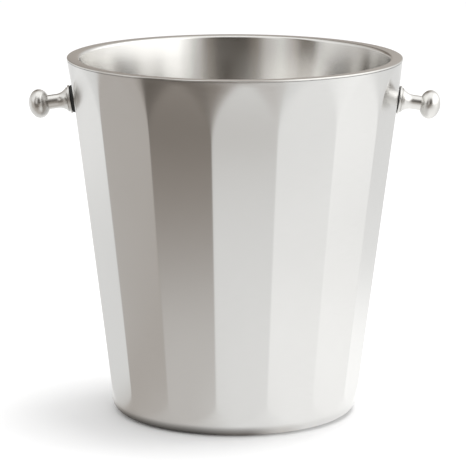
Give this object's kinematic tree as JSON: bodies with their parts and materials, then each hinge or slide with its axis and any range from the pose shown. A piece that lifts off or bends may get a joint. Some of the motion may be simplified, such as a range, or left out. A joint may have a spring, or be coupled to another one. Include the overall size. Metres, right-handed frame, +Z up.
{
  "type": "ice bucket",
  "caption": "Tapered double-walled steel ice and wine bucket with a faceted outer shell, flat rim and turned ball knobs as handles.",
  "frame": {"origin": "centre of the base, on the surface that the bucket stands on", "axes": "+Z up out of the mouth, +X through the right knob, +Y to the back"},
  "size_m": [0.2654, 0.216, 0.232],
  "materials": {
    "satin_steel": "satin stainless steel",
    "brushed_steel": "stainless steel brushed round the bowl",
    "satin_nickel": "fine satin, nearly polished",
    "black_rubber": "matt black rubber",
    "zinc_plate": "zinc-plated steel"
  },
  "bodies": {
    "root": {"outer_shell": "satin_steel", "base_cover": "satin_steel", "inner_liner": "brushed_steel", "knob_left": "satin_nickel", "knob_right": "satin_nickel", "gasket_left": "black_rubber", "gasket_right": "black_rubber", "stud_left": "zinc_plate", "stud_right": "zinc_plate", "washer_left": "zinc_plate", "washer_right": "zinc_plate", "lock_washer_left": "zinc_plate", "lock_washer_right": "zinc_plate", "nut_left": "zinc_plate", "nut_right": "zinc_plate"}
  },
  "joints": []
}
